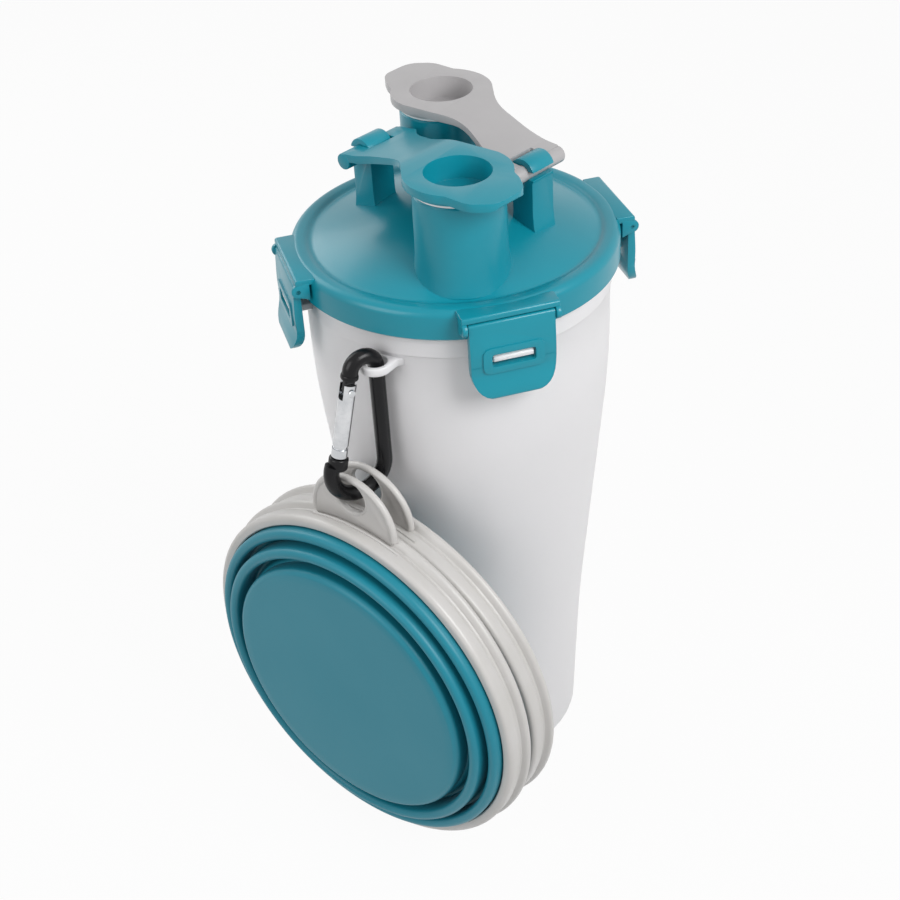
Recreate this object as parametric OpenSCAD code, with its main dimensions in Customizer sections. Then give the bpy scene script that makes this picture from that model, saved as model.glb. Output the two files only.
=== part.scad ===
// Two-chamber travel bottle with a snap-on lid, a carabiner and two folding bowls.
// Millimetres, +Z up. The origin is the middle of the bottle's base.
// The bowls hang on the -Y side, with their open mouths towards the bottle.

/* [Bottle] */
// Outer radius at the foot of the bottle
base_r = 36.3; // [34:0.1:38]
// Outer radius where the lower wall starts to flare
waist_r = 38.8; // [37:0.1:40]
// Height of that waist
waist_z = 57; // [50:1:64]
// Outer radius of the upper wall
top_r = 48.9; // [48.6:0.1:49.1]
// Height where the flare ends
shoulder_z = 158; // [150:1:162]
// Height of the bottle's rim
bottle_h = 199.8; // [199.5:0.1:200]
// Thickness of the bottle's wall
bottle_wall = 1.8; // [1.4:0.1:2.2]
// Thickness of the bottle's floor
bottle_floor = 2.4; // [2:0.1:3]
// Rounding between the foot and the wall
foot_round = 5; // [4:0.5:6]
// How far the collar below the rim stands out from the wall
collar_out = 0.6; // [0.3:0.1:0.7]
// Distance of the collar's lower edge below the rim
collar_drop = 12.2; // [11.8:0.1:12.4]
// Thickness of the wall between the two chambers
divider_t = 2; // [1.6:0.1:2.6]

/* [Lid] */
// How far the lid's skirt stands out past the bottle
skirt_over = 3.1; // [3:0.1:3.3]
// How far the skirt reaches below the bottle's rim
skirt_drop = 4.5; // [4:0.1:5]
// Thickness of the lid's walls
lid_wall = 1.8; // [1.5:0.1:1.9]
// Height of the rounded ridge above the bottle's rim
ridge_rise = 5.5; // [5.3:0.1:6]
// Width of the ledge between the skirt and the dome
ledge_w = 6.6; // [6.4:0.1:7]
// Height of the dome above the ridge
dome_rise = 12.7; // [11:0.5:14]

/* [Spouts] */
// Distance of each spout from the middle, along the caps
spout_x = 22; // [21.5:0.1:22.5]
// Distance of each spout from the middle, across the caps
spout_y = 19.9; // [19.6:0.1:20.4]
// Outer radius of a spout at its mouth
spout_r = 13.8; // [13.4:0.1:14]
// Extra radius of a spout at its root
spout_flare = 0.8; // [0.4:0.1:1]
// Radius of a spout's bore
bore_r = 11.9; // [11.7:0.1:12.1]
// Height of a spout's mouth above the ridge
spout_rise = 28.1; // [27.8:0.1:28.6]

/* [Caps] */
// Radius of a cap's round plate
cap_r = 16.3; // [15.5:0.1:16.4]
// Height of a cap's round plate with the ring under it
cap_t = 4.1; // [3.6:0.1:4.5]
// Thickness of that plate
plate_t = 2.6; // [2.2:0.1:3]
// Radius of the round dish in a cap
dish_r = 10.1; // [9.8:0.1:10.2]
// Depth of that dish
dish_depth = 7.4; // [7:0.1:7.6]
// Thickness of the plug's wall
plug_wall = 1; // [0.8:0.1:1]
// Thickness of the seal under a cap
seal_t = 1; // [0.8:0.1:1.2]
// Distance from the spout's axis to the cap's hinge
cap_arm = 46.6; // [46:0.1:47]
// How far the cap's hinge lies below the spout's mouth
hinge_drop = 4.65; // [4.5:0.05:4.8]
// Radius of the bar that a cap turns on
bar_r = 2.6; // [2.4:0.1:2.7]
// Length of that bar
bar_len = 25; // [24:0.5:25]
// Thickness of a cap's arm
arm_t = 2.9; // [2.7:0.1:3.1]
// Width of the post that holds the bar
post_w = 9.6; // [9:0.1:10]
// Wall of the post's hook
hook_wall = 2; // [1.8:0.1:2.1]
// How far a cap's thumb lip reaches from the spout's axis
lip_reach = 23; // [22:0.5:24]

/* [Snap tabs] */
// Width of a snap tab
tab_w = 26.4; // [25:0.2:27]
// Thickness of a snap tab
tab_t = 2.2; // [2:0.1:2.4]
// Gap between the skirt and a tab's inner face
tab_gap = 1.4; // [1.2:0.1:1.6]
// Height of a tab's hinge above the bottle's rim
tab_hinge_rise = 1.5; // [1.2:0.1:1.7]
// Length of a tab below its hinge
tab_drop = 23.8; // [23.4:0.1:24.6]
// Radius of a tab's hinge roll
roll_r = 1.5; // [1.3:0.1:1.5]
// Radius of the stub pins at the ends of that roll
stub_r = 0.9; // [0.8:0.05:1]
// Width of the catch that a tab snaps over
catch_w = 12.4; // [11:0.2:13]
// Height of that catch
catch_t = 2.2; // [2:0.1:2.4]
// How far a catch passes a tab's inner face
catch_bite = 2.6; // [2.4:0.1:2.8]
// Distance of the middle of a catch below the rim
catch_drop = 9.2; // [8.8:0.1:9.4]

/* [Eyelet and carabiner] */
// Distance of the eyelet's hole from the bottle's wall
eyelet_out = 3.9; // [3.7:0.1:4.3]
// Distance of the middle of the eyelet below the rim
eyelet_drop = 14.8; // [14.6:0.1:15.2]
// Thickness of the eyelet
eyelet_t = 2.8; // [2.6:0.1:2.9]
// Radius of the eyelet's hole
eyelet_hole_r = 3.5; // [3.4:0.05:3.6]
// Wall round the eyelet's hole
eyelet_wall = 1.6; // [1.4:0.1:1.7]
// Radius of the carabiner's rod
rod_r = 2.5; // [2.4:0.05:2.55]
// Bend radius of the carabiner's top, at the rod's middle
top_bend = 4.4; // [4.35:0.05:4.6]
// Bend radius of the carabiner's bottom, at the rod's middle
low_bend = 9.4; // [9.2:0.1:9.6]
// Length of the carabiner's straight spine
spine_len = 33.8; // [33.4:0.1:34]
// Lean of the gate from upright
gate_lean = 13.5; // [12:0.5:15]
// Distance of the gate's rivet below the eyelet
rivet_drop = 5; // [4.6:0.1:5.4]
// Length of the gate below its rivet
gate_len = 22.6; // [22:0.1:22.8]

/* [Bowls] */
// Radius of the soft outer ring of a bowl
soft_r = 59.9; // [59.6:0.1:60.1]
// Thickness of the rim's band
band_t = 3.5; // [3.3:0.1:3.8]
// How far the bead round the rim's open edge stands out
bead_out = 1.2; // [0.8:0.1:1.6]
// Depth of the rim
rim_depth = 9.7; // [9.4:0.1:9.7]
// Width of that bead
bead_w = 2.8; // [2.6:0.1:3]
// Depth from the rim's open edge to the front of the soft outer ring
soft_front = 13; // [12.9:0.1:13.1]
// Depth from the rim's open edge to the front of the middle ring
middle_front = 15.8; // [15.6:0.1:15.8]
// Depth from the rim's open edge to the front of the floor
floor_front = 17.1; // [17:0.1:17.4]
// Width of the step from the outer ring to the middle ring
middle_step = 5.5; // [5.3:0.1:5.6]
// Width of the step from the middle ring to the floor
floor_step = 6.8; // [6.6:0.1:7]
// Thickness of the soft walls
soft_t = 1.2; // [1:0.1:1.3]
// Thickness of the floor
floor_t = 2; // [1.6:0.1:2.2]
// Spacing of the two nested bowls at the top of their rims
bowl_pitch = 9.9; // [9.9:0.1:10.1]
// Lean of the rear bowl towards the bottle
bowl_lean = 2.4; // [2.2:0.1:2.6]
// Distance from the rim's bead to the middle of the ear's hole
ear_reach = 8.7; // [8.6:0.1:8.8]
// Radius of the ear's hole
ear_hole_r = 5.9; // [5.8:0.1:6]
// Outer radius of the ear
ear_out_r = 17.2; // [16.8:0.1:17.6]
// Thickness of the ear
ear_t = 2.6; // [2.4:0.1:2.7]

/* [Clearances] */
// Gap of a pin or bar that turns in its bearing
run_gap = 0.05; // [0.03:0.01:0.08]
// Gap where one piece is seated on another
seat_gap = 0.2; // [0.15:0.05:0.25]
// Gap between parts that move past each other
free_gap = 0.4; // [0.35:0.05:0.5]

/* [Hidden] */
$fn = 64;
// A cut reaches this far past the face it opens
past = 1;
// A piece reaches this far into the one it is joined to
root = 0.4;
// The rod's straights are this much thinner, so that they run into its bends
rod_step = 0.03;
lid_green = "#3290A0";
cap_grey = "#C4C1C0";
shell_clear = [0.84, 0.84, 0.86, 0.6];
soft_green = "#3A7F92";
rim_grey = "#D8D5D3";
rod_black = "#1B1B1D";
steel = "#C9CBCE";
// Bearings are measured from -Y, positive towards +X
eyelet_turn = 10.3;
tab_turn = eyelet_turn + 45;
cap_turn = -4.9;
carabiner_turn = -19.7;
divider_turn = cap_turn + atan2(spout_x, spout_y);
collar_z = bottle_h - collar_drop;
skirt_r = top_r + skirt_over;
skirt_z = bottle_h - skirt_drop;
ridge_z = bottle_h + ridge_rise;
dome_r = skirt_r - ledge_w;
dome_z = ridge_z + dome_rise;
spout_z = ridge_z + spout_rise;
cap_hinge_z = spout_z - hinge_drop;
tab_in_r = skirt_r + tab_gap;
tab_hinge_z = bottle_h + tab_hinge_rise;
catch_z = bottle_h - catch_drop;
eyelet_r = top_r + eyelet_out;
eyelet_z = bottle_h - eyelet_drop;
low_bend_z = eyelet_z - spine_len;
rivet_z = eyelet_z - rivet_drop;
rim_in_r = soft_r + free_gap;
band_r = rim_in_r + band_t;
bead_r = band_r + bead_out;
middle_r = soft_r - middle_step;
floor_r = middle_r - floor_step;
ear_r = bead_r + ear_reach;
collar_r = top_r + collar_out;
skirt_in_r = skirt_r - lid_wall;
seat_z = bottle_h + seat_gap + seal_t;
dome_in_z = dome_z - lid_wall;
groove_z = ridge_z - 0.7;
cap_z = spout_z + seat_gap + seal_t + cap_t;
cap_under_z = cap_z - cap_t;
plate_under_z = cap_z - plate_t;
ring_r = spout_r + 0.9;
plug_r = dish_r + plug_wall;
bar_y = spout_y - bar_len / 2 + 2.9;
hook_r = bar_r + run_gap + hook_wall;
tab_hinge_r = tab_in_r + 0.8;
tab_slot_w = catch_w + 2 * 0.6;
cheek_t = 1.6;
cheek_gap = 0.3;
lug_gap = 0.35;
catch_tip_r = tab_in_r + catch_bite;
gate_r = rod_r;
gate_bore_r = 1.8;
gate_slot = 2.6;
gate_slot_z = 2.8;
gate_top = 2.2;
gate_end_t = 2;
tongue_t = 2;
tongue_w = 3.4;
rivet_r = 0.8;
rivet_head_t = 0.4;
rivet_len = gate_r + 0.3 + rivet_head_t;
plunger_len = 3;
gate_line_s = top_bend + top_bend * cos(gate_lean);
gate_line_z = eyelet_z + top_bend * sin(gate_lean);
rivet_s = gate_line_s + (gate_line_z - rivet_z) * tan(gate_lean);
shoulder_len = (gate_line_z - rivet_z) / cos(gate_lean);
shoulder_gap = 3.7;
nose_r = 3.1;
nose_len = 4.2;
nose_arc = 25;
ear_plane = 3.8;
ear_close = 1.8;
ear_wall = 1.7;
ear_mid = ear_r + ear_hole_r + ear_wall - ear_out_r;
ear_lift = 0.5;
groove_in = 0.8;
bowl_x = 6.2;
bowl_z = low_bend_z - low_bend + ear_lift - ear_r;
bowl_back_y = -eyelet_r - 9.2;
lip_z = soft_front - 7.3;
lip_t = 1.2;
middle_in_r = middle_r - 3.8;
fold_t = 0.8;

function blend(a, p, b, reach, steps) =
    let (u = (a - p) / norm(a - p), v = (b - p) / norm(b - p), s = p + u * reach, e = p + v * reach)
    [for (i = [0 : steps]) let (t = i / steps) (1 - t) * (1 - t) * s + 2 * t * (1 - t) * p + t * t * e];
function arc(c, r, a0, a1, steps) =
    [for (i = [0 : steps]) let (a = a0 + (a1 - a0) * i / steps) c + r * [cos(a), sin(a)]];

// Outline of the bottle's side, drawn in by an inset
function side(inset) = concat(
    blend([base_r - inset, foot_round], [waist_r - inset, waist_z], [top_r - inset, shoulder_z], 18, 6),
    blend([waist_r - inset, waist_z], [top_r - inset, shoulder_z], [top_r - inset, bottle_h], 16, 6));

module at_bearing(turn) { rotate([0, 0, turn]) children(); }

module ring(r_out, r_in, z0, z1) {
    translate([0, 0, z0]) difference() {
        cylinder(r = r_out, h = z1 - z0);
        translate([0, 0, -past]) cylinder(r = r_in, h = z1 - z0 + 2 * past);
    }
}

// Bottle
module bottle_outer() {
    rotate_extrude() polygon(concat(
        [[0, 0]],
        arc([base_r - foot_round, foot_round], foot_round, -90, 0, 6),
        side(0), [[top_r, bottle_h], [0, bottle_h]]));
    ring(collar_r, top_r - root, collar_z, bottle_h);
}
module bottle_inner(inset, top) {
    round_in = foot_round - bottle_wall;
    floor_z = bottle_floor + inset;
    rotate_extrude() polygon(concat(
        [[0, floor_z]],
        arc([base_r - bottle_wall - inset - round_in, floor_z + round_in], round_in, -90, 0, 5),
        side(bottle_wall + inset), [[top_r - bottle_wall - inset, top], [0, top]]));
}
module bottle_catch() {
    translate([-catch_w / 2, -catch_tip_r, catch_z - catch_t / 2])
        cube([catch_w, catch_tip_r - top_r + 1.6, catch_t]);
}
module eyelet_tongue() {
    out_r = eyelet_hole_r + eyelet_wall;
    translate([0, 0, eyelet_z - eyelet_t / 2]) {
        translate([0, -eyelet_r, 0]) cylinder(r = out_r, h = eyelet_t);
        translate([-out_r, -eyelet_r, 0]) cube([2 * out_r, eyelet_r - top_r + 1.4, eyelet_t]);
    }
}
module bottle_shell() color(shell_clear) {
    difference() {
        union() {
            bottle_outer();
            for (k = [0 : 3]) at_bearing(tab_turn + 90 * k) bottle_catch();
            at_bearing(eyelet_turn) eyelet_tongue();
        }
        bottle_inner(0, bottle_h + past);
        at_bearing(eyelet_turn) translate([0, -eyelet_r, eyelet_z - eyelet_t])
            cylinder(r = eyelet_hole_r, h = 2 * eyelet_t);
    }
}
module chamber_divider() color(shell_clear) {
    intersection() {
        bottle_inner(seat_gap, bottle_h - seat_gap);
        at_bearing(divider_turn) translate([-top_r, -divider_t / 2, 0])
            cube([2 * top_r, divider_t, bottle_h]);
    }
}

// Lid
module lid_outer() {
    rotate_extrude() polygon(concat(
        [[0, skirt_z], [skirt_r, skirt_z]],
        arc([skirt_r - 2.6, ridge_z - 2.6], 2.6, 0, 90, 6),
        [[dome_r + 2.6, ridge_z], [dome_r + 1.2, groove_z], [dome_r, groove_z]],
        [[dome_r - 1.6, groove_z + 0.6]],
        [[0, dome_z]]));
}
module lid_hollow() {
    rotate_extrude() polygon([
        [0, skirt_z - past], [skirt_in_r, skirt_z - past], [skirt_in_r, seat_z],
        [dome_r - lid_wall, seat_z], [dome_r - lid_wall, groove_z - lid_wall], [0, dome_in_z]]);
}
module lid_rib() {
    intersection() {
        rotate_extrude() polygon([
            [0, seat_z], [dome_r - lid_wall + root, seat_z], [dome_r - lid_wall + root, groove_z - lid_wall],
            [0, dome_in_z + root]]);
        at_bearing(divider_turn) translate([-dome_r, -divider_t / 2, 0])
            cube([2 * dome_r, divider_t, dome_z]);
    }
}
module spout_tube() {
    translate([spout_x, -spout_y, ridge_z])
        cylinder(r1 = spout_r + spout_flare, r2 = spout_r, h = spout_z - ridge_z);
}
module spout_bore() {
    translate([spout_x, -spout_y, seat_z]) cylinder(r = bore_r, h = spout_z);
}
module cap_post() {
    translate([spout_x - cap_arm, bar_y - spout_y, 0]) {
        translate([-hook_r + 0.6, -post_w / 2, ridge_z + 3])
            cube([2 * hook_r - 1.2, post_w, cap_hinge_z - ridge_z - 3 - bar_r]);
        translate([0, post_w / 2, cap_hinge_z]) rotate([90, 0, 0]) cylinder(r = hook_r, h = post_w);
    }
}
module cap_post_bore() {
    translate([spout_x - cap_arm, bar_y - spout_y, cap_hinge_z]) {
        translate([0, post_w / 2 + past, 0]) rotate([90, 0, 0])
            cylinder(r = bar_r + run_gap, h = post_w + 2 * past);
        translate([-hook_r - past, -post_w / 2 - past, -1.2])
            cube([hook_r + past, post_w + 2 * past, 2.4]);
    }
}
module tab_cheek(side_x) {
    x0 = side_x > 0 ? tab_w / 2 + cheek_gap : -tab_w / 2 - cheek_gap - cheek_t;
    translate([x0, 0, 0]) {
        translate([0, -tab_hinge_r, tab_hinge_z]) rotate([0, 90, 0]) cylinder(r = 2.1, h = cheek_t);
        translate([0, -tab_hinge_r, tab_hinge_z - 2.1])
            cube([cheek_t, tab_hinge_r - skirt_r + 2.6, 4.2]);
    }
}
module tab_lug() {
    half = tab_w / 2 + cheek_gap + cheek_t;
    lug_z = tab_hinge_z + roll_r + lug_gap;
    translate([-half, -tab_hinge_r - 0.7, lug_z])
        cube([2 * half, tab_hinge_r - skirt_r + 4, ridge_z - 0.2 - lug_z]);
}
module tab_cheek_bore() {
    translate([-tab_w / 2 - cheek_gap - cheek_t - past, -tab_hinge_r, tab_hinge_z]) rotate([0, 90, 0])
        cylinder(r = stub_r + run_gap, h = tab_w + 2 * (cheek_gap + cheek_t + past));
}
module lid_shell() color(lid_green) {
    difference() {
        union() {
            difference() {
                union() {
                    lid_outer();
                    for (k = [0, 180]) at_bearing(cap_turn + k) spout_tube();
                    for (k = [0 : 3]) at_bearing(tab_turn + 90 * k) for (s = [-1, 1]) tab_cheek(s);
                    for (k = [0 : 3]) at_bearing(tab_turn + 90 * k) tab_lug();
                }
                lid_hollow();
            }
            lid_rib();
            for (k = [0, 180]) at_bearing(cap_turn + k) cap_post();
        }
        for (k = [0, 180]) at_bearing(cap_turn + k) spout_bore();
        for (k = [0, 180]) at_bearing(cap_turn + k) cap_post_bore();
        for (k = [0 : 3]) at_bearing(tab_turn + 90 * k) tab_cheek_bore();
    }
}
module lid_gasket() color("white") {
    gasket_r = top_r + 0.4;
    ring(gasket_r, top_r - bottle_wall - 1.4, seat_z - seal_t, seat_z);
    intersection() {
        translate([0, 0, seat_z - seal_t]) cylinder(r = top_r - bottle_wall - 1, h = seal_t);
        at_bearing(divider_turn) translate([-top_r, -divider_t, 0])
            cube([2 * top_r, 2 * divider_t, bottle_h * 2]);
    }
}

// Snap tabs
module snap_tab() color(lid_green) {
    y_in = tab_hinge_r - tab_in_r;
    corner = 10;
    translate([0, -tab_hinge_r, tab_hinge_z]) difference() {
        union() {
            translate([-tab_w / 2, 0, 0]) rotate([0, 90, 0]) cylinder(r = roll_r, h = tab_w);
            translate([-tab_w / 2 - cheek_gap - cheek_t, 0, 0]) rotate([0, 90, 0])
                cylinder(r = stub_r, h = tab_w + 2 * (cheek_gap + cheek_t));
            intersection() {
                translate([-tab_w / 2, 0, 0]) rotate([90, 0, 90]) linear_extrude(tab_w) polygon([
                    [y_in, 0], [y_in, -tab_drop + 6], [y_in - 1.6, -tab_drop + 1], [y_in - 2.8, -tab_drop],
                    [y_in - 4.6, -tab_drop + 0.4], [y_in - 4.2, -tab_drop + 2.4],
                    [y_in - tab_t, -tab_drop + 7.4], [y_in - tab_t - 0.6, -tab_drop * 0.5], [y_in - tab_t, 0]]);
                translate([0, 8, 0]) rotate([90, 0, 0]) linear_extrude(16) union() {
                    translate([-tab_w / 2, -tab_drop + corner]) square([tab_w, tab_drop]);
                    translate([-tab_w / 2 + corner, -tab_drop]) square([tab_w - 2 * corner, tab_drop]);
                    for (s = [-1, 1]) translate([s * (tab_w / 2 - corner), -tab_drop + corner]) circle(r = corner);
                }
            }
        }
        translate([-tab_slot_w / 2, -8, catch_z - tab_hinge_z - catch_t / 2 - 1.6])
            cube([tab_slot_w, 16, catch_t + 1.6 + free_gap]);
    }
}
module snap_tab_front() at_bearing(tab_turn) snap_tab();
module snap_tab_right() at_bearing(tab_turn + 90) snap_tab();
module snap_tab_rear() at_bearing(tab_turn + 180) snap_tab();
module snap_tab_left() at_bearing(tab_turn - 90) snap_tab();

// Caps, drawn with the spout's axis at the origin and the arm towards -X
module cap_plan() {
    union() {
        circle(r = cap_r);
        translate([0, -9]) square([lip_reach, 11.5]);
        translate([0, -14]) square([lip_reach - 5, 21.5]);
        for (y = [-9, 2.5]) translate([lip_reach - 5, y]) circle(r = 5);
        polygon([[2, 15.5], [-14, 14.5], [-22, 13], [-34, 17.5], [-39, bar_y + bar_len / 2],
            [-cap_arm, bar_y + bar_len / 2], [-cap_arm, bar_y - bar_len / 2],
            [-36, -1.4], [-20, -3.5], [-9, -13], [2, -13]]);
    }
}
module cap_side() {
    polygon([[lip_reach, cap_z - 0.5], [lip_reach - 0.5, cap_z], [-17, cap_z],
        [-cap_arm + 4, cap_hinge_z + bar_r + 0.6], [-cap_arm, cap_hinge_z + bar_r],
        [-cap_arm, cap_hinge_z], [-cap_arm + 6.6, cap_hinge_z + bar_r - arm_t + 1.2],
        [-19, plate_under_z], [lip_reach - 1.4, plate_under_z], [lip_reach, plate_under_z + 1.4]]);
}
module cap_body() {
    window_x = hook_r + 0.5;
    difference() {
        union() {
            intersection() {
                translate([0, 0, ridge_z]) linear_extrude(cap_z) cap_plan();
                translate([0, cap_arm, 0]) rotate([90, 0, 0]) linear_extrude(2 * cap_arm) cap_side();
            }
            translate([-cap_arm, bar_y + bar_len / 2, cap_hinge_z]) rotate([90, 0, 0])
                cylinder(r = bar_r, h = bar_len);
            translate([0, 0, cap_z - dish_depth - 2]) cylinder(r = plug_r, h = dish_depth - 1);
            translate([0, 0, cap_under_z]) cylinder(r = ring_r, h = cap_t - 1);
        }
        translate([0, 0, cap_z - dish_depth]) cylinder(r = dish_r, h = dish_depth + past);
        translate([-cap_arm, bar_y - post_w / 2 - 0.5, ridge_z]) difference() {
            cube([window_x, post_w + 1, cap_z]);
            translate([0, -past, cap_hinge_z - ridge_z]) rotate([-90, 0, 0])
                cylinder(r = bar_r, h = post_w + 1 + 2 * past);
        }
    }
}
module place_cap(k) { at_bearing(cap_turn + k) translate([spout_x, -spout_y, 0]) children(); }
module cap_seal() { ring(spout_r - 0.2, plug_r + 0.15, cap_under_z - seal_t, cap_under_z); }
module water_cap() color(lid_green) place_cap(0) cap_body();
module water_cap_seal() color("white") place_cap(0) cap_seal();
module food_cap() color(cap_grey) place_cap(180) cap_body();
module food_cap_seal() color("white") place_cap(180) cap_seal();

// Carabiner, drawn in its own plane: X runs outward from the spine, Z is up
module in_carabiner_plane() {
    at_bearing(eyelet_turn) translate([0, -eyelet_r, 0])
        rotate([0, 0, carabiner_turn - eyelet_turn - 90]) children();
}
module bend(cx, cz, r, from, sweep) {
    translate([cx, 0, cz]) rotate([90, 0, 0]) rotate([0, 0, from])
        rotate_extrude(angle = sweep) translate([r, 0]) circle(r = rod_r, $fn = 32);
}
module on_gate_line(drop) {
    translate([rivet_s + drop * tan(gate_lean), 0, rivet_z - drop]) rotate([0, -gate_lean, 0]) children();
}
module carabiner_frame() color(rod_black) in_carabiner_plane() {
    difference() {
        union() {
            translate([0, 0, low_bend_z - root])
                cylinder(r = rod_r - rod_step, h = eyelet_z - low_bend_z + 2 * root);
            bend(top_bend, eyelet_z, top_bend, gate_lean, 180 - gate_lean);
            bend(low_bend, low_bend_z, low_bend, 180, 180 + nose_arc);
            on_gate_line(0) translate([0, 0, shoulder_gap])
                cylinder(r = rod_r - rod_step, h = shoulder_len + root - shoulder_gap);
            on_gate_line(0) translate([-tongue_w / 2, -tongue_t / 2, -tongue_w / 2])
                cube([tongue_w, tongue_t, tongue_w / 2 + shoulder_gap + 1]);
            on_gate_line(0) translate([0, 0, -gate_len - free_gap - nose_len]) cylinder(r = nose_r, h = nose_len);
        }
        on_gate_line(0) translate([0, rivet_len, 0]) rotate([90, 0, 0]) cylinder(r = rivet_r, h = 2 * rivet_len);
    }
}
module gate_rivet() color(steel) in_carabiner_plane() on_gate_line(0) rotate([90, 0, 0]) {
    translate([0, 0, -rivet_len]) cylinder(r = rivet_r, h = 2 * rivet_len);
    for (z = [-rivet_len, rivet_len - rivet_head_t])
        translate([0, 0, z]) cylinder(r = rivet_r + rivet_head_t, h = rivet_head_t);
}
module carabiner_gate() color(steel) in_carabiner_plane() on_gate_line(0) {
    difference() {
        translate([0, 0, -gate_len]) cylinder(r = gate_r, h = gate_len + gate_top);
        translate([0, 0, -gate_len + gate_end_t]) cylinder(r = gate_bore_r, h = gate_len + gate_top);
        translate([-gate_r - past, -gate_slot / 2, -gate_slot_z])
            cube([2 * gate_r + 2 * past, gate_slot, gate_slot_z + gate_top + past]);
        translate([0, rivet_len, 0]) rotate([90, 0, 0]) cylinder(r = rivet_r + run_gap, h = 2 * rivet_len);
    }
}
module gate_plunger() color(steel) in_carabiner_plane() on_gate_line(0) {
    translate([0, 0, -gate_slot_z - free_gap - plunger_len])
        cylinder(r = gate_bore_r - seat_gap, h = plunger_len);
}
module gate_spring() color(steel) in_carabiner_plane() on_gate_line(0) {
    ring(gate_bore_r - seat_gap, gate_bore_r - seat_gap - 0.6,
        -gate_len + gate_end_t, -gate_slot_z - free_gap - plunger_len);
}

// Bowls, drawn lying on the open edge of the rim with the ear towards +Y
module place_bowl(row) {
    translate([bowl_x, bowl_back_y + row * bowl_pitch, bowl_z + bead_r]) rotate([row * bowl_lean, 0, 0])
        translate([0, 0, -bead_r]) rotate([90, 0, 0]) children();
}
module ear(row) {
    z0 = ear_plane + (row - 0.5) * ear_close - ear_t / 2;
    difference() {
        translate([0, ear_mid, z0]) cylinder(r = ear_out_r, h = ear_t);
        translate([0, 0, z0 - past]) cylinder(r = band_r - 1, h = ear_t + 2 * past);
    }
}
module rim_section() {
    rotate_extrude() polygon([
        [rim_in_r, 0], [bead_r - 0.6, 0], [bead_r, 0.6], [bead_r, bead_w - 0.6], [bead_r - 0.6, bead_w],
        [band_r - groove_in, bead_w + 0.8], [band_r - groove_in, bead_w + 1.5], [band_r, bead_w + 2.3],
        [band_r, rim_depth - 1.6], [band_r - 0.5, rim_depth - 0.5], [band_r - 1.6, rim_depth],
        [rim_in_r, rim_depth]]);
}
module bowl_rim(row) color(rim_grey) {
    difference() {
        union() {
            rim_section();
            ring(rim_in_r + root, rim_in_r - 2.2, lip_z - lip_t, lip_z);
            ear(row);
        }
        translate([0, ear_r, 0]) cylinder(r = ear_hole_r, h = rim_depth + past);
    }
}
module crest(r_out, r_in, z0_out, z0_in, z1) {
    round_r = (r_out - r_in) / 2;
    difference() {
        union() {
            ring(r_out, (r_out + r_in) / 2, z0_out, z1 - round_r);
            ring((r_out + r_in) / 2 + root, r_in, z0_in, z1 - round_r);
            translate([0, 0, z1 - round_r]) rotate_extrude() translate([(r_out + r_in) / 2, 0])
                circle(r = round_r, $fn = 32);
        }
        ring(r_out - soft_t, r_in + soft_t, min(z0_out, z0_in) - past, z1 - round_r);
        translate([0, 0, z1 - round_r]) rotate_extrude() translate([(r_out + r_in) / 2, 0])
            circle(r = round_r - soft_t, $fn = 32);
    }
}
module outer_ring() color(soft_green) crest(soft_r, soft_r - 3.7, lip_z, lip_z + 1, soft_front);
module middle_ring() color(soft_green) crest(middle_r, middle_in_r, lip_z + 2, lip_z + 2, middle_front);
module bowl_floor() color(soft_green) {
    edge = 2;
    rotate_extrude() polygon(concat(
        [[0, floor_front - floor_t], [floor_r - soft_t - edge, floor_front - floor_t],
            [floor_r - soft_t - 0.6, floor_front - floor_t - 1.2], [floor_r - soft_t - 0.6, lip_z + 5.1],
            [floor_r, lip_z + 5.1]],
        arc([floor_r - edge, floor_front - edge], edge, 0, 90, 5),
        [[0, floor_front]]));
}
module outer_fold() color(soft_green) {
    z0 = lip_z + 0.1;
    ring(soft_r - 2.7, middle_r - soft_t, z0, z0 + fold_t);
    ring(middle_r, middle_r - soft_t, z0, lip_z + 1.7);
}
module inner_fold() color(soft_green) {
    z0 = lip_z + 0.8;
    z1 = lip_z + 4.8;
    ring(middle_in_r + soft_t, floor_r + 0.5, z0, z0 + fold_t);
    ring(floor_r + 0.5 + fold_t, floor_r + 0.5, z0, z1);
    ring(floor_r + 0.5 + fold_t, floor_r - 1.6, z1 - fold_t + 0.1, z1);
}
module front_bowl_rim() place_bowl(0) bowl_rim(0);
module front_bowl_outer_ring() place_bowl(0) outer_ring();
module front_bowl_middle_ring() place_bowl(0) middle_ring();
module front_bowl_floor() place_bowl(0) bowl_floor();
module front_bowl_outer_fold() place_bowl(0) outer_fold();
module front_bowl_inner_fold() place_bowl(0) inner_fold();
module rear_bowl_rim() place_bowl(1) bowl_rim(1);
module rear_bowl_outer_ring() place_bowl(1) outer_ring();
module rear_bowl_middle_ring() place_bowl(1) middle_ring();
module rear_bowl_floor() place_bowl(1) bowl_floor();
module rear_bowl_outer_fold() place_bowl(1) outer_fold();
module rear_bowl_inner_fold() place_bowl(1) inner_fold();

bottle_shell();
chamber_divider();
lid_shell();
lid_gasket();
snap_tab_front();
snap_tab_right();
snap_tab_rear();
snap_tab_left();
water_cap();
water_cap_seal();
food_cap();
food_cap_seal();
carabiner_frame();
gate_rivet();
carabiner_gate();
gate_spring();
gate_plunger();
front_bowl_rim();
front_bowl_outer_ring();
front_bowl_middle_ring();
front_bowl_floor();
front_bowl_outer_fold();
front_bowl_inner_fold();
rear_bowl_rim();
rear_bowl_outer_ring();
rear_bowl_middle_ring();
rear_bowl_floor();
rear_bowl_outer_fold();
rear_bowl_inner_fold();
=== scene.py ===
"""Looks of a two-chamber travel bottle with a snap-on lid, a carabiner and two folding bowls.

Sizes are in millimetres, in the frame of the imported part: the origin is the middle of the
bottle's base, +Z is up and the bowls hang on the -Y side. Each piece is modelled in
millimetres and brought to metres when it is finished.
"""

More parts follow.
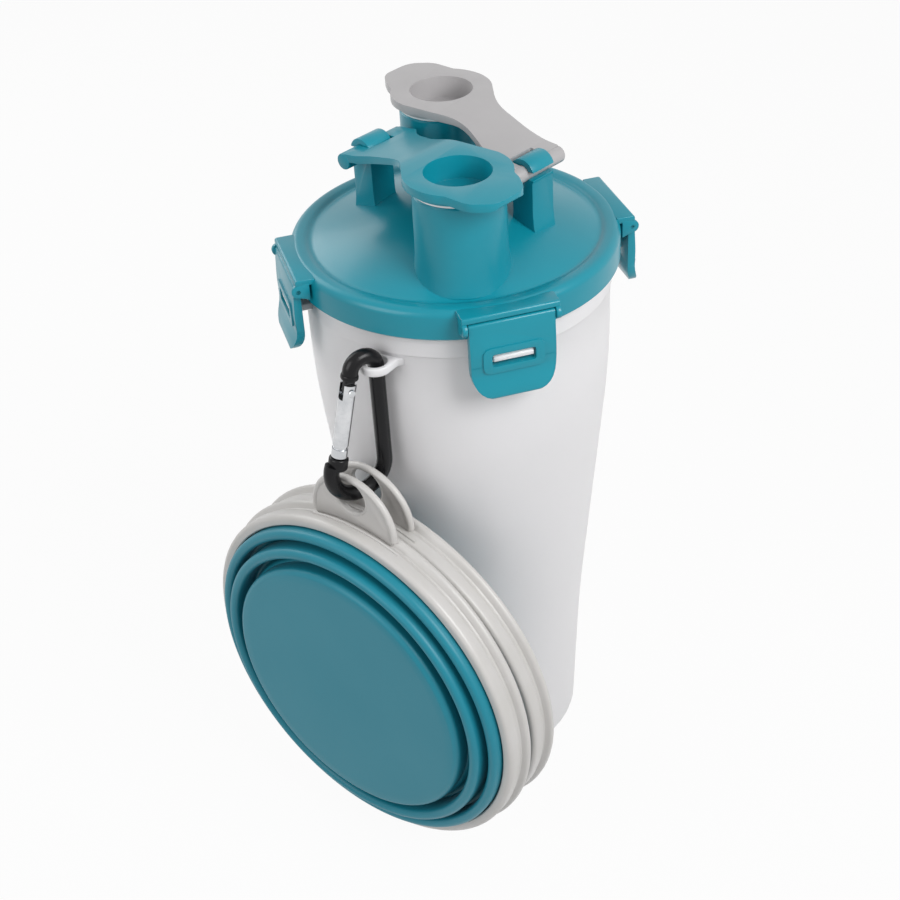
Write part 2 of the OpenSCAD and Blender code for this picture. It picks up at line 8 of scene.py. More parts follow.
import logging
import math
from dataclasses import dataclass, field
from enum import Enum

import bpy
from mathutils import Matrix, Vector


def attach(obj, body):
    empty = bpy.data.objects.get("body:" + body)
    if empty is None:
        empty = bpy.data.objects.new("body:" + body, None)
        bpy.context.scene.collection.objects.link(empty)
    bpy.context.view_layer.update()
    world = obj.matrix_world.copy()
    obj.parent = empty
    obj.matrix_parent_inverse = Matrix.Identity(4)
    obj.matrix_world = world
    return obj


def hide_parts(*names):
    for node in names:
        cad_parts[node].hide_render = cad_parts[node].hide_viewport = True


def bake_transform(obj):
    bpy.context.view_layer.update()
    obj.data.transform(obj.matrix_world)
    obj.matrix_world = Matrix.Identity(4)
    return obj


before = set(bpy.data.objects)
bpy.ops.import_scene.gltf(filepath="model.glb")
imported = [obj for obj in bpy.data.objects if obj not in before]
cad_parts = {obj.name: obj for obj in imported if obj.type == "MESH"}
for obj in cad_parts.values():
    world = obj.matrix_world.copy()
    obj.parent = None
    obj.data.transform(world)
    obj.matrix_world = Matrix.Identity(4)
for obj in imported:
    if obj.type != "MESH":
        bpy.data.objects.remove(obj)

log = logging.getLogger("bottle")

# Short names for the types that the functions take and return
Piece = bpy.types.Object
Material = bpy.types.Material
Tree = bpy.types.NodeTree
Socket = bpy.types.NodeSocket
Point2 = tuple[float, float]
Point3 = tuple[float, float, float]

MM = 0.001
FULL_TURN = 2 * math.pi
WELD_MM = 0.002
QUARTER_X = Matrix.Rotation(math.radians(90), 4, "X")
QUARTER_Y = Matrix.Rotation(math.radians(90), 4, "Y")

# Steps of the lathe on broad and on narrow round pieces
BROAD = 160
NARROW = 96

# Places and sizes that several sub-assemblies share, in millimetres and degrees
TAB_TURN = 55.3
TAB_W = 26.4
TAB_HINGE_R = 54.2
TAB_HINGE_Z = 201.3
CAP_TURN = -4.9
CAP_HINGE_Z = 228.75
SPOUT = (22, -19.9)
POST_W = 9.6
EYELET_R = 52.8
EYELET_Z = 185
EYELET_TURN = 10.3


# Tools for modelling


class Boolean(Enum):
    """What a second solid does to the first one."""

    CUT = "DIFFERENCE"
    ADD = "UNION"
    KEEP = "INTERSECT"


def deselect() -> None:
    """Leaves nothing selected, so that the next operator acts on one object."""
    bpy.ops.object.select_all(action="DESELECT")


def pick(piece: Piece) -> None:
    """Selects one object and makes it the active one."""
    deselect()
    piece.select_set(True)
    bpy.context.view_layer.objects.active = piece


def named(piece: Piece, name: str) -> Piece:
    """Names an object and its mesh alike, and returns the object."""
    piece.name = piece.data.name = name
    return piece


def close_shell() -> None:
    """In edit mode: merges doubles and turns all faces outwards."""
    bpy.ops.mesh.select_all(action="SELECT")
    bpy.ops.mesh.remove_doubles(threshold=WELD_MM)
    bpy.ops.mesh.normals_make_consistent(inside=False)
    bpy.ops.object.mode_set(mode="OBJECT")


def trace(name: str, points: list[Vector], closed: bool) -> Piece:
    """Draws a line of edges from one vertex, and leaves it selected in edit mode.

    Args:
        name: The new object's name.
        points: The corners, in millimetres.
        closed: Whether the line runs back to its first point.

    Returns:
        The new object.
    """
    deselect()
    bpy.ops.mesh.primitive_plane_add(size=1)
    piece = named(bpy.context.object, name)
    bpy.ops.object.mode_set(mode="EDIT")
    bpy.ops.mesh.select_all(action="SELECT")
    bpy.ops.mesh.merge(type="CENTER")
    bpy.ops.transform.translate(value=points[0])
    route = points + [points[0]] if closed else points
    for here, there in zip(route, route[1:]):
        bpy.ops.mesh.extrude_region_move(TRANSFORM_OT_translate={"value": there - here})
    bpy.ops.mesh.select_all(action="SELECT")
    if closed:
        bpy.ops.mesh.remove_doubles(threshold=WELD_MM)
    return piece


def lathe(name: str, profile: list[Point2], steps: int = NARROW, closed: bool = True) -> Piece:
    """Spins a profile of (radius, height) points round +Z.

    Args:
        name: The new object's name.
        profile: The profile's points.
        steps: How many steps the spin takes.
        closed: Whether the profile is a closed line.

    Returns:
        The new object.
    """
    piece = trace(name, [Vector((r, 0, z)) for r, z in profile], closed)
    bpy.ops.mesh.spin(steps=steps, angle=FULL_TURN, center=(0, 0, 0), axis=(0, 0, 1))
    close_shell()
    return piece


def prism(name: str, outline: list[Point2], low: float, high: float) -> Piece:
    """Fills an outline in the XY plane and extrudes it from low to high along +Z."""
    piece = trace(name, [Vector((x, y, low)) for x, y in outline], True)
    bpy.ops.mesh.edge_face_add()
    bpy.ops.mesh.extrude_region_move(TRANSFORM_OT_translate={"value": (0, 0, high - low)})
    close_shell()
    return piece


def side_prism(name: str, outline: list[Point2], low: float, high: float) -> Piece:
    """Like prism, with the outline's points read as (y, z) and the extrusion along +X."""
    to_side = Matrix(((0, 0, 1, 0), (1, 0, 0, 0), (0, 1, 0, 0), (0, 0, 0, 1)))
    return turned(prism(name, outline, low, high), to_side)


def front_prism(name: str, outline: list[Point2], low: float, high: float) -> Piece:
    """Like prism, with the outline's points read as (x, z) and the extrusion along -Y."""
    return turned(prism(name, outline, low, high), QUARTER_X)


def rod(name: str, radius: float, low: float, high: float, sides: int = 48) -> Piece:
    """An upright round bar on the Z axis, from low to high."""
    deselect()
    bpy.ops.mesh.primitive_cylinder_add(
        vertices=sides, radius=radius, depth=high - low, location=(0, 0, (low + high) / 2)
    )
    return turned(named(bpy.context.object, name), Matrix.Identity(4))


def block(name: str, low: Point3, high: Point3) -> Piece:
    """A box between two corners, as the start of a piece that is cut or rounded later."""
    deselect()
    middle = (Vector(low) + Vector(high)) / 2
    bpy.ops.mesh.primitive_cube_add(size=1, location=middle, scale=Vector(high) - Vector(low))
    return turned(named(bpy.context.object, name), Matrix.Identity(4))


def tube(name: str, path: list[Vector], radius: float, sides: int = 6) -> Piece:
    """A round bar along a path of points, with flat ends.

    Args:
        name: The new object's name.
        path: The points of the bar's middle line.
        radius: The bar's radius.
        sides: How fine the bar's section is.

    Returns:
        The new mesh object.
    """
    deselect()
    bpy.ops.curve.primitive_bezier_curve_add()
    curve = bpy.context.object
    curve.data.splines.clear()
    line = curve.data.splines.new("POLY")
    line.points.add(len(path) - 1)
    for point, place in zip(line.points, path):
        point.co = (*place, 1)
    curve.data.dimensions = "3D"
    curve.data.bevel_depth = radius
    curve.data.bevel_resolution = sides
    curve.data.use_fill_caps = True
    pick(curve)
    bpy.ops.object.convert(target="MESH")
    piece = named(bpy.context.object, name)
    bpy.ops.object.mode_set(mode="EDIT")
    close_shell()
    return turned(piece, Matrix.Identity(4))


def turned(piece: Piece, place: Matrix) -> Piece:
    """Moves a piece by a matrix and puts the move into its mesh."""
    piece.matrix_world = place @ piece.matrix_world
    pick(piece)
    bpy.ops.object.transform_apply(location=True, rotation=True, scale=True)
    return piece


def modify(piece: Piece, kind: str, **settings: object) -> Piece:
    """Adds one modifier with its settings and applies it."""
    pick(piece)
    bpy.ops.object.modifier_add(type=kind)
    modifier = piece.modifiers[-1]
    for key, value in settings.items():
        setattr(modifier, key, value)
    bpy.ops.object.modifier_apply(modifier=modifier.name)
    return piece


def combine(piece: Piece, other: Piece, how: Boolean) -> Piece:
    """Cuts, adds or keeps with a second solid, which is used up."""
    modify(piece, "BOOLEAN", operation=how.value, object=other, solver="EXACT")
    bpy.data.objects.remove(other)
    return piece


def soften(piece: Piece, width: float, segments: int = 2, angle: float = 35) -> Piece:
    """Rounds the edges that are sharper than an angle, as a mould does."""
    return modify(
        piece, "BEVEL", width=width, segments=segments, limit_method="ANGLE", angle_limit=math.radians(angle)
    )


def welded(name: str, parts: list[Piece]) -> Piece:
    """Joins several meshes into one piece of that name."""
    pick(parts[0])
    for part in parts[1:]:
        part.select_set(True)
    bpy.ops.object.join()
    return named(parts[0], name)


def copied(piece: Piece, place: Matrix) -> Piece:
    """Copies a piece with a mesh of its own and moves the copy."""
    pick(piece)
    bpy.ops.object.duplicate(linked=False)
    return turned(bpy.context.object, place)


def arc(centre: Point2, radius: float, start: float, end: float, steps: int = 8) -> list[Point2]:
    """Points on an arc, with the angles in degrees."""
    angles = [math.radians(start + (end - start) * i / steps) for i in range(steps + 1)]
    return [(centre[0] + radius * math.cos(a), centre[1] + radius * math.sin(a)) for a in angles]


def eased(before: Point2, corner: Point2, after: Point2, reach: float, steps: int = 8) -> list[Point2]:
    """Replaces a corner by a parabola that starts and ends at reach from it."""
    here = Vector(corner)
    start = here + (Vector(before) - here).normalized() * reach
    end = here + (Vector(after) - here).normalized() * reach
    shares = [i / steps for i in range(steps + 1)]
    points = [(1 - t) ** 2 * start + 2 * t * (1 - t) * here + t * t * end for t in shares]
    return [(p.x, p.y) for p in points]


def rounded(corners: list[Point3], steps: int = 4) -> list[Point2]:
    """Rounds each corner (x, y, reach) of a closed outline; a reach of 0 keeps it sharp.

    Args:
        corners: The corners, with how far from each its rounding starts.
        steps: How many steps a rounding takes.

    Returns:
        The outline's points.
    """
    outline: list[Point2] = []
    for i, (x, y, reach) in enumerate(corners):
        before, after = corners[i - 1][:2], corners[(i + 1) % len(corners)][:2]
        outline += eased(before, (x, y), after, reach, steps) if reach else [(x, y)]
    return outline


def at_bearing(degrees: float) -> Matrix:
    """Turns what is drawn on the -Y side round the bottle, positive towards +X."""
    return Matrix.Rotation(math.radians(degrees), 4, "Z")


def over_tabs(piece: Piece) -> list[Piece]:
    """Copies what is drawn on the -Y side to three of the snap tabs and turns it to the fourth."""
    others = [copied(piece, at_bearing(TAB_TURN + 90 * k)) for k in range(1, 4)]
    return [*others, turned(piece, at_bearing(TAB_TURN))]


def finish_piece(piece: Piece, material: Material, body: str = "", smooth: float = 32) -> Piece:
    """Brings a piece from millimetres to metres, dresses it and hangs it on its body.

    Args:
        piece: The modelled mesh.
        material: The material of its whole surface.
        body: The body that it rides on, or nothing where it bends between two bodies.
        smooth: The angle under which two faces are shaded as one surface.

    Returns:
        The same object.
    """
    turned(piece, Matrix.Scale(MM, 4))
    pick(piece)
    bpy.ops.object.shade_smooth_by_angle(angle=math.radians(smooth))
    piece.data.materials.clear()
    piece.data.materials.append(material)
    if body:
        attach(piece, body)
    log.info("%s: %d faces", piece.name, len(piece.data.polygons))
    return piece


# Finishes


def linear(hex_colour: str) -> tuple[float, float, float, float]:
    """Turns an sRGB hex value into the linear colour that a shader takes."""
    parts = [int(hex_colour[i : i + 2], 16) / 255 for i in (1, 3, 5)]
    red, green, blue = (c / 12.92 if c <= 0.04045 else ((c + 0.055) / 1.055) ** 2.4 for c in parts)
    return red, green, blue, 1.0


def add_node(
    tree: Tree,
    kind: str,
    values: dict[str, object] | None = None,
    links: dict[str, Socket] | None = None,
    **settings: object,
) -> bpy.types.Node:
    """Adds a node with its settings, socket values and incoming links.

    Args:
        tree: The material's or world's node tree.
        kind: The node's type.
        values: Constants for its input sockets.
        links: Sockets that feed its input sockets.
        settings: Attributes of the node itself.

    Returns:
        The new node.
    """
    node = tree.nodes.new(kind)
    for key, value in settings.items():
        setattr(node, key, value)
    for key, value in (values or {}).items():
        node.inputs[key].default_value = value
    for key, socket in (links or {}).items():
        tree.links.new(socket, node.inputs[key])
    return node


def fresh_tree(owner: Material | bpy.types.World) -> Tree:
    """Switches a material or world to nodes, and returns its empty tree."""
    owner.use_nodes = True
    owner.node_tree.nodes.clear()
    return owner.node_tree


def per_metre(size_mm: float) -> float:
    """The noise scale whose features are about that many millimetres apart."""
    return 1 / (size_mm * MM)


COAT_ROUGHNESS = 0.12
BUMP_STRENGTH = 0.5
CLOUD_EDGES = {"From Min": 0.35, "From Max": 0.65}
EVEN_SCATTER = (1.0, 1.0, 1.0)


@dataclass(frozen=True)
class Moulded:
    """A solid finish: its colour clouds a little and its skin has a fine texture."""

    name: str
    colour: str
    cloud: str
    roughness: float
    rough_drift: float = 0.06
    cloud_mm: float = 14
    skin_mm: float = 0.7
    skin_depth_mm: float = 0.01
    metallic: float = 0.0
    coat: float = 0.0
    sheen: float = 0.0
    subsurface: float = 0.0
    glow_mm: float = 2.5
    transmission: float = 0.0
    ior: float = 1.5

    def material(self) -> Material:
        """Builds the material's nodes."""
        material = bpy.data.materials.new(self.name)
        tree = fresh_tree(material)
        clouds = self.noise(tree, self.cloud_mm, 3.0)
        share = add_node(tree, "ShaderNodeMapRange", CLOUD_EDGES, {"Value": clouds})
        colour = self.clouded(tree, share.outputs["Result"])
        rough = add_node(
            tree, "ShaderNodeMapRange",
            {"To Min": self.roughness - self.rough_drift, "To Max": self.roughness + self.rough_drift},
            {"Value": clouds},
        )
        bump = add_node(
            tree, "ShaderNodeBump", {"Strength": BUMP_STRENGTH, "Distance": self.skin_depth_mm * MM},
            {"Height": self.noise(tree, self.skin_mm, 2.0)},
        )
        shader = add_node(
            tree, "ShaderNodeBsdfPrincipled",
            {
                "Metallic": self.metallic, "IOR": self.ior, "Sheen Weight": self.sheen,
                "Coat Weight": self.coat, "Coat Roughness": COAT_ROUGHNESS,
                "Subsurface Weight": self.subsurface, "Subsurface Scale": self.glow_mm * MM,
                "Subsurface Radius": EVEN_SCATTER, "Transmission Weight": self.transmission,
            },
            {"Base Color": colour, "Roughness": rough.outputs["Result"], "Normal": bump.outputs["Normal"]},
        )
        add_node(tree, "ShaderNodeOutputMaterial", links={"Surface": shader.outputs["BSDF"]})
        return material

    def noise(self, tree: Tree, size_mm: float, detail: float) -> Socket:
        """Noise over the object's own coordinates, with features of a size."""
        place = add_node(tree, "ShaderNodeTexCoord").outputs["Object"]
        values = {"Scale": per_metre(size_mm), "Detail": detail}
        return add_node(tree, "ShaderNodeTexNoise", values, {"Vector": place}).outputs["Fac"]

    def clouded(self, tree: Tree, share: Socket) -> Socket:
        """Mixes the colour with its cloud by a share, and returns the colour socket."""
        ramp = add_node(tree, "ShaderNodeValToRGB", links={"Fac": share})
        ramp.color_ramp.elements[0].color = linear(self.colour)
        ramp.color_ramp.elements[1].color = linear(self.cloud)
        return ramp.outputs["Color"]


# Moulded polypropylene, satin: an even teal with soft broad highlights and a hint of orange peel
LID_TEAL = Moulded(
    "lid_moulded_polypropylene", "#0E8799", "#0C8597", 0.3, rough_drift=0.04, skin_mm=1.1, coat=0.05,
    ior=1.42,
)
# Moulded polypropylene in warm grey: the lid's skin, but the highlights hardly stand out from it
CAP_GREY = Moulded(
    "cap_grey_polypropylene", "#AAA8A9", "#A7A5A6", 0.36, rough_drift=0.04, coat=0.08, skin_mm=1.1,
)
# Thermoplastic rubber: a duller teal than the lid, whose round crests carry wide weak highlights
BOWL_TEAL = Moulded(
    "bowl_thermoplastic_rubber", "#167F92", "#147D90", 0.42, cloud_mm=40, skin_mm=0.5, skin_depth_mm=0.014,
    sheen=0.03, ior=1.42,
)
# Moulded polypropylene rim: pale warm grey, with edges that glow a little as light passes into them
RIM_GREY = Moulded("rim_pale_polypropylene", "#C3C1BF", "#C0BEBB", 0.38, subsurface=0.12, coat=0.06)
# Blow-moulded natural polypropylene: a milky wall with soft shading, through which nothing shows sharply
MILKY_WALL = Moulded(
    "bottle_natural_polypropylene", "#EEEDEF", "#ECEBED", 0.34, rough_drift=0.04, cloud_mm=60, skin_mm=1.6,
    skin_depth_mm=0.02, transmission=0.12, subsurface=0.4, glow_mm=5, ior=1.49,
)
# Silicone seal: soft white without gloss, which reads as a thin pale line under a cap
SEAL_WHITE = Moulded("seal_silicone", "#ECEDED", "#E4E5E6", 0.5, sheen=0.1)
# Anodised aluminium rod: deep black with narrow highlights along the bends
ROD_BLACK = Moulded(
    "rod_black_anodised", "#0B0B0D", "#0F0F11", 0.26, skin_mm=0.4, skin_depth_mm=0.006, coat=0.05, ior=1.3,
)
# Bright drawn aluminium: sharp light and dark bands along the barrel, dulled in faint clouds
GATE_METAL = Moulded(
    "gate_bright_aluminium", "#D9DADC", "#C6C8CB", 0.22, rough_drift=0.1, cloud_mm=5, metallic=1.0,
)


@dataclass
class Finishes:
    """All the materials, each built once."""

    lid: Material = field(default_factory=LID_TEAL.material)
    cap: Material = field(default_factory=CAP_GREY.material)
    bowl: Material = field(default_factory=BOWL_TEAL.material)
    rim: Material = field(default_factory=RIM_GREY.material)
    wall: Material = field(default_factory=MILKY_WALL.material)
    seal: Material = field(default_factory=SEAL_WHITE.material)
    rod: Material = field(default_factory=ROD_BLACK.material)
    metal: Material = field(default_factory=GATE_METAL.material)


def dress_node(node: str, material: Material) -> None:
    """Gives a CAD node that stays on show its material."""
    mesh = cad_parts[node].data
    mesh.materials.clear()
    mesh.materials.append(material)
    log.info("%s: CAD node kept", node)


# The object's sub-assemblies


@dataclass
class Bottle:
    """The milky bottle: its wall, its four catches and its eyelet."""

    base_r: float = 36.3
    waist_r: float = 38.8
    waist_z: float = 57
    top_r: float = 48.9
    shoulder_z: float = 158
    height: float = 199.8
    wall_t: float = 1.8
    floor_t: float = 2.4
    waist_reach: float = 18
    shoulder_reach: float = 16
    foot_round: float = 5
    foot_ring: float = 3
    push_up: float = 1.2
    push_w: float = 5
    collar_out: float = 0.6
    collar_z: float = 187.6
    catch_w: float = 12.4
    catch_t: float = 2.2
    catch_z: float = 190.6
    catch_tip_r: float = 56
    root_in: float = 0.8
    eyelet_t: float = 2.8
    eyelet_hole_r: float = 3.5
    eyelet_out_r: float = 5.1

    def side(self, inset: float) -> list[Point2]:
        """The bottle's side from foot to rim, drawn in by an inset."""
        foot, rim = (self.base_r - inset, self.foot_round), (self.top_r - inset, self.height)
        waist, shoulder = (self.waist_r - inset, self.waist_z), (self.top_r - inset, self.shoulder_z)
        low = eased(foot, waist, shoulder, self.waist_reach, 10)
        return low + eased(waist, shoulder, rim, self.shoulder_reach, 10)

    def wall(self) -> Piece:
        """The lathe-turned wall with its pushed-up base and the collar under the lid."""
        foot_x, out = self.base_r - self.foot_round, self.top_r + self.collar_out
        round_in, stand_x = self.foot_round - self.wall_t, foot_x - self.foot_ring
        outside = [
            (0, self.push_up), (stand_x - self.push_w, self.push_up),
            (stand_x - self.push_w * 0.6, self.push_up * 0.8), (stand_x - self.push_w * 0.3, 0.2), (stand_x, 0),
            *arc((foot_x, self.foot_round), self.foot_round, -90, 0),
            *self.side(0),
            (self.top_r, self.collar_z - 0.4), (self.top_r + 0.2, self.collar_z),
            *arc((out - 0.4, self.collar_z + 0.5), 0.4, -60, 0, 3),
            *arc((out - 0.5, self.height - 0.5), 0.5, 0, 90, 3),
        ]
        inside = [
            (self.top_r - self.wall_t + 0.4, self.height), (self.top_r - self.wall_t, self.height - 0.4),
            *reversed(self.side(self.wall_t)),
            *arc((foot_x, self.floor_t + round_in), round_in, 0, -90),
            (0, self.floor_t + self.push_up * 0.5),
        ]
        return lathe("bottle_wall", outside + inside, 128)

    def catches(self) -> list[Piece]:
        """The four wedges that the snap tabs close over."""
        low, top = self.catch_z - self.catch_t / 2, self.catch_z + self.catch_t / 2
        root_y, tip_y = self.root_in - self.top_r, -self.catch_tip_r
        wedge = side_prism(
            "catch", [(root_y, low), (root_y, top), (tip_y + 1.2, top), (tip_y, top - 0.9), (tip_y, low)],
            -self.catch_w / 2, self.catch_w / 2,
        )
        return over_tabs(soften(wedge, 0.3))

    def eyelet(self) -> Piece:
        """The flat lug that the carabiner hangs from."""
        root_y, flare = self.root_in - self.top_r, self.eyelet_out_r + 0.4
        outline = [
            (flare + 2.1, root_y), (flare, root_y - 1.4),
            *arc((0, -EYELET_R), self.eyelet_out_r, 0, -180, 24),
            (-flare, root_y - 1.4), (-flare - 2.1, root_y),
        ]
        low, top = EYELET_Z - self.eyelet_t / 2, EYELET_Z + self.eyelet_t / 2
        lug = prism("eyelet", outline, low, top)
        hole = rod("hole", self.eyelet_hole_r, low - 2, top + 2)
        combine(lug, turned(hole, Matrix.Translation((0, -EYELET_R, 0))), Boolean.CUT)
        soften(lug, 0.5, 3)
        return turned(lug, at_bearing(EYELET_TURN))

    def build(self, finishes: Finishes) -> None:
        """Makes and dresses all that rides on the bottle."""
        shell = welded("bottle_shell_look", [self.wall(), *self.catches(), self.eyelet()])
        finish_piece(shell, finishes.wall, "bottle")
        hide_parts("bottle_shell")
        dress_node("chamber_divider", finishes.wall)


@dataclass
class Lid:
    """The snap-on lid: skirt, ridge, dome, two spouts, two hinge posts and the tabs' cheeks."""

    skirt_r: float = 52
    skirt_z: float = 195.3
    wall_t: float = 1.8
    ridge_z: float = 205.3
    dome_r: float = 45.4
    dome_z: float = 218
    crease_depth: float = 0.7
    edge_round: float = 2.6
    seat_z: float = 201
    crown: float = 1.1
    spout_r: float = 13.8
    bore_r: float = 11.9
    mouth_z: float = 233.4
    root_z: float = 209
    hinge_x: float = -24.6
    hinge_y: float = -9.6
    bar_r: float = 2.65
    hook_r: float = 4.65
    slot_half: float = 1.2
    cheek_gap: float = 0.3
    cheek_t: float = 1.6
    cheek_r: float = 2.1

    def shell(self) -> Piece:
        """The lathe-turned cover: broad ledge, soft crease and gently crowned dome."""
        edge, crease, foot = self.dome_r - 2, self.ridge_z - self.crease_depth, self.ridge_z + 0.1
        rise = [(edge * (1 - t), foot + (self.dome_z - foot) * t + self.crown * 4 * t * (1 - t))
                for t in (0.02, 0.06, 0.12, 0.2, 0.35, 0.5, 0.65, 0.8)]
        hem, wall_x, dome_x = self.skirt_z + 0.5, self.skirt_r - self.wall_t, self.dome_r - self.wall_t
        dip = [(2.6, self.ridge_z), (1.9, self.ridge_z - 0.14), (1.2, self.ridge_z - 0.42), (0.7, crease),
               (0.2, crease - 0.06), (-0.4, crease + 0.05), (-1.1, crease + 0.35)]
        outside = [
            (wall_x, hem), (wall_x + 0.4, self.skirt_z), (self.skirt_r - 0.5, self.skirt_z),
            (self.skirt_r, hem), (self.skirt_r, self.skirt_z + 4),
            *arc((self.skirt_r - self.edge_round, self.ridge_z - self.edge_round), self.edge_round, 0, 90),
            *[(self.dome_r + out, z) for out, z in dip],
            *rise, (edge * 0.06, self.dome_z), (0, self.dome_z),
        ]
        inside = [(0, self.dome_z - self.wall_t), (dome_x, crease - self.wall_t),
                  (dome_x, self.seat_z), (wall_x, self.seat_z)]
        return lathe("lid_cover", outside + inside, BROAD)

    def spout(self) -> Piece:
        """One spout, a straight tube that widens a little where it grows out of the dome."""
        flare = [(1.5, -4), (0.9, -1.5), (0.5, 1), (0.25, 4), (0.1, 9)]
        profile = [
            *[(self.spout_r + out, self.root_z + up) for out, up in flare],
            (self.spout_r, self.mouth_z - 0.5), (self.spout_r - 0.4, self.mouth_z),
            (self.bore_r + 0.3, self.mouth_z), (self.bore_r, self.mouth_z - 0.4),
            (self.bore_r, self.root_z - 6), (self.spout_r, self.root_z - 6),
        ]
        return lathe("spout", profile)

    def post(self) -> Piece:
        """One upright hook that holds a cap's bar, open towards the lid's edge."""
        foot, half = self.ridge_z + 2 - CAP_HINGE_Z, self.hook_r - 0.6
        mouth = math.degrees(math.asin(self.slot_half / self.bar_r))
        lips = math.degrees(math.asin(self.slot_half / self.hook_r))
        outline = [
            (-half - 1.2, foot), (-half - 0.4, foot + 4), (-half, foot + 8), (-half, -2.4),
            *arc((0, 0), self.hook_r, 180 + lips + 8, 180 + lips, 2),
            *arc((0, 0), self.bar_r, 180 + mouth, 540 - mouth, 20),
            *arc((0, 0), self.hook_r, 180 - lips, 0, 14),
            (half, -2.4), (half, foot + 8), (half + 0.4, foot + 4), (half + 1.2, foot),
        ]
        hook = front_prism("post", outline, -POST_W / 2, POST_W / 2)
        soften(hook, 0.45, 2, 40)
        return turned(hook, Matrix.Translation((self.hinge_x, self.hinge_y, CAP_HINGE_Z)))

    def cheeks(self) -> list[Piece]:
        """The pair of cheeks that hold one snap tab's pins, drawn on the -Y side."""
        root_y = -(self.skirt_r - 1.4)
        outline = [
            (root_y, TAB_HINGE_Z - 3.4), (-self.skirt_r - 0.4, TAB_HINGE_Z - 2.6),
            *arc((-TAB_HINGE_R, TAB_HINGE_Z), self.cheek_r, -90, -270, 12),
            (root_y - 0.6, TAB_HINGE_Z + 2.7), (root_y, TAB_HINGE_Z + 2.7),
        ]
        inner = TAB_W / 2 + self.cheek_gap
        starts = (inner, -inner - self.cheek_t)
        return [soften(side_prism("cheek", outline, low, low + self.cheek_t), 0.35) for low in starts]

    def lug(self) -> Piece:
        """The flat platform that the ledge runs out to over one snap tab, drawn on the -Y side."""
        low, top = TAB_HINGE_Z + 1.85, self.ridge_z - 0.2
        tip_y, root_y = -TAB_HINGE_R - 0.7, -self.skirt_r + 3.2
        outline = rounded([(root_y, low, 0), (root_y, top, 0), (tip_y, top, 0.9), (tip_y, low, 0.3)])
        half = TAB_W / 2 + self.cheek_gap + self.cheek_t - 0.08
        return soften(side_prism("lug", outline, -half, half), 0.5, 3)

    def build(self, finishes: Finishes) -> None:
        """Makes and dresses the lid's one moulding, and its gasket."""
        cover, spout, post = self.shell(), self.spout(), self.post()
        parts = [cover]
        for half_turn in (0, 180):
            about = at_bearing(CAP_TURN + half_turn)
            place = about @ Matrix.Translation((*SPOUT, 0))
            bore = turned(rod("bore", self.bore_r, self.skirt_z, self.mouth_z, NARROW), place)
            combine(cover, bore, Boolean.CUT)
            parts += [copied(spout, place), copied(post, about)]
        bpy.data.objects.remove(spout)
        bpy.data.objects.remove(post)
        for holder in (*self.cheeks(), self.lug()):
            parts += over_tabs(holder)
        lid = welded("lid_shell_look", parts)
        finish_piece(lid, finishes.lid, "lid")
        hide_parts("lid_shell")
        dress_node("lid_gasket", finishes.seal)


@dataclass
class SnapTabs:
    """The four snap tabs round the lid."""

    thick: float = 2.2
    inner_r: float = 53.4
    drop: float = 23.8
    roll_r: float = 1.5
    pin_r: float = 0.9
    pin_reach: float = 1.9
    corner: float = 10
    frame_w: float = 19
    frame_h: float = 8.6
    frame_out: float = 0.85
    slot_w: float = 13.6
    slot_h: float = 4.2
    slot_z: float = 190.15

    def oblong(self, width: float, height: float, reach: float) -> list[Point2]:
        """A rectangle round the origin with rounded corners."""
        w, h = width / 2, height / 2
        return rounded([(-w, -h, reach), (w, -h, reach), (w, h, reach), (-w, h, reach)])

    def tab(self) -> Piece:
        """One tab: a slot in a raised frame, rounded corners and a lip curled outwards."""
        y_in, y_out = -self.inner_r, -self.inner_r - self.thick
        low, top = TAB_HINGE_Z - self.drop, TAB_HINGE_Z + self.roll_r
        section = rounded([
            (y_in, top, 0.8), (y_in, low + 5.5, 3), (y_in - 2.9, low, 1), (y_in - 4.6, low + 0.5, 0.7),
            (y_in - 4.1, low + 2.6, 1.2), (y_out, low + 8, 3), (y_out - 0.55, TAB_HINGE_Z - self.drop / 2, 4),
            (y_out + 0.2, top, 0.9),
        ])
        half, foot = TAB_W / 2, low - 0.01
        plate = side_prism("tab", section, -half, half)
        face = rounded([(-half, foot, self.corner), (half, foot, self.corner), (half, top + 1, 0),
                        (-half, top + 1, 0)], 8)
        through = (self.inner_r - 6, self.inner_r + 12)
        combine(plate, front_prism("face", face, *through), Boolean.KEEP)
        at_slot = Matrix.Translation((0, 0, self.slot_z))
        face_r = self.inner_r + self.thick
        band = self.oblong(self.frame_w, self.frame_h, 2.6)
        edging = front_prism("frame", band, face_r - 0.4, face_r + self.frame_out)
        combine(plate, turned(edging, at_slot), Boolean.ADD)
        cutter = front_prism("slot", self.oblong(self.slot_w, self.slot_h, 1), *through)
        combine(plate, turned(cutter, at_slot), Boolean.CUT)
        soften(plate, 0.4, 3)
        across = Matrix.Translation((0, -TAB_HINGE_R, TAB_HINGE_Z)) @ QUARTER_Y
        reach = half + self.pin_reach
        pin = turned(soften(rod("pin", self.pin_r, -reach, reach, 24), 0.15), across)
        return welded("snap_tab", [plate, pin])

    def build(self, finishes: Finishes) -> None:
        """Makes one tab, and copies it to the other three sides."""
        first = self.tab()
        for name, turn in (("front", 0), ("right", 90), ("rear", 180), ("left", -90)):
            tab = named(copied(first, at_bearing(TAB_TURN + turn)), f"snap_tab_{name}_look")
            finish_piece(tab, finishes.lid, f"tab_{name}")
            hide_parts(f"snap_tab_{name}")
        bpy.data.objects.remove(first)


